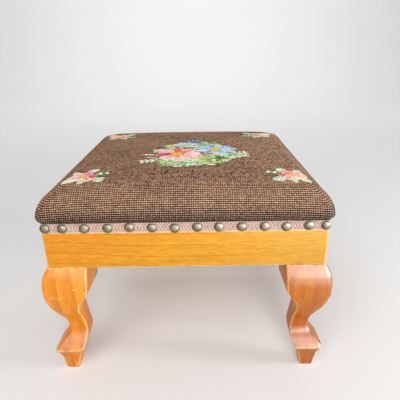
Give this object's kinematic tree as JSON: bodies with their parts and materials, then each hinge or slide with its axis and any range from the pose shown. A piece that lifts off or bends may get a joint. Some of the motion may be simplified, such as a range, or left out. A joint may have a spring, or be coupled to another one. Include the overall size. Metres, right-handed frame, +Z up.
{
  "type": "upholstered footstool",
  "caption": "Low square footstool: padded worked-canvas seat with braid and domed nails, on a wooden box frame with cabriole legs.",
  "frame": {"origin": "on the floor, under the middle of the seat", "axes": "+Z up, -Y towards the front, +X towards the right as seen from the front"},
  "size_m": [0.3486, 0.3486, 0.256],
  "materials": {
    "needlepoint": "matte",
    "wadding": "matte",
    "foam": "matte",
    "plywood": "matte",
    "braid": "matte",
    "nail": "satin",
    "rail": "gloss",
    "leg": "gloss",
    "block": "matte",
    "steel": "satin"
  },
  "bodies": {
    "root": {"needlepoint_cover": "needlepoint", "cotton_wadding": "wadding", "foam_pad": "foam", "seat_board": "plywood", "gimp_braid": "braid", "nails_front": "nail", "nails_right": "nail", "nails_back": "nail", "nails_left": "nail", "rail_front": "rail", "rail_right": "rail", "rail_back": "rail", "rail_left": "rail", "leg_back_right": "leg", "leg_back_left": "leg", "leg_front_left": "leg", "leg_front_right": "leg", "corner_block_back_right": "block", "corner_block_back_left": "block", "corner_block_front_left": "block", "corner_block_front_right": "block", "hanger_bolt_back_right": "steel", "hanger_bolt_back_left": "steel", "hanger_bolt_front_left": "steel", "hanger_bolt_front_right": "steel", "washer_back_right": "steel", "washer_back_left": "steel", "washer_front_left": "steel", "washer_front_right": "steel", "hex_nut_back_right": "steel", "hex_nut_back_left": "steel", "hex_nut_front_left": "steel", "hex_nut_front_right": "steel", "seat_screw_back_right": "steel", "seat_screw_back_left": "steel", "seat_screw_front_left": "steel", "seat_screw_front_right": "steel"}
  },
  "joints": []
}
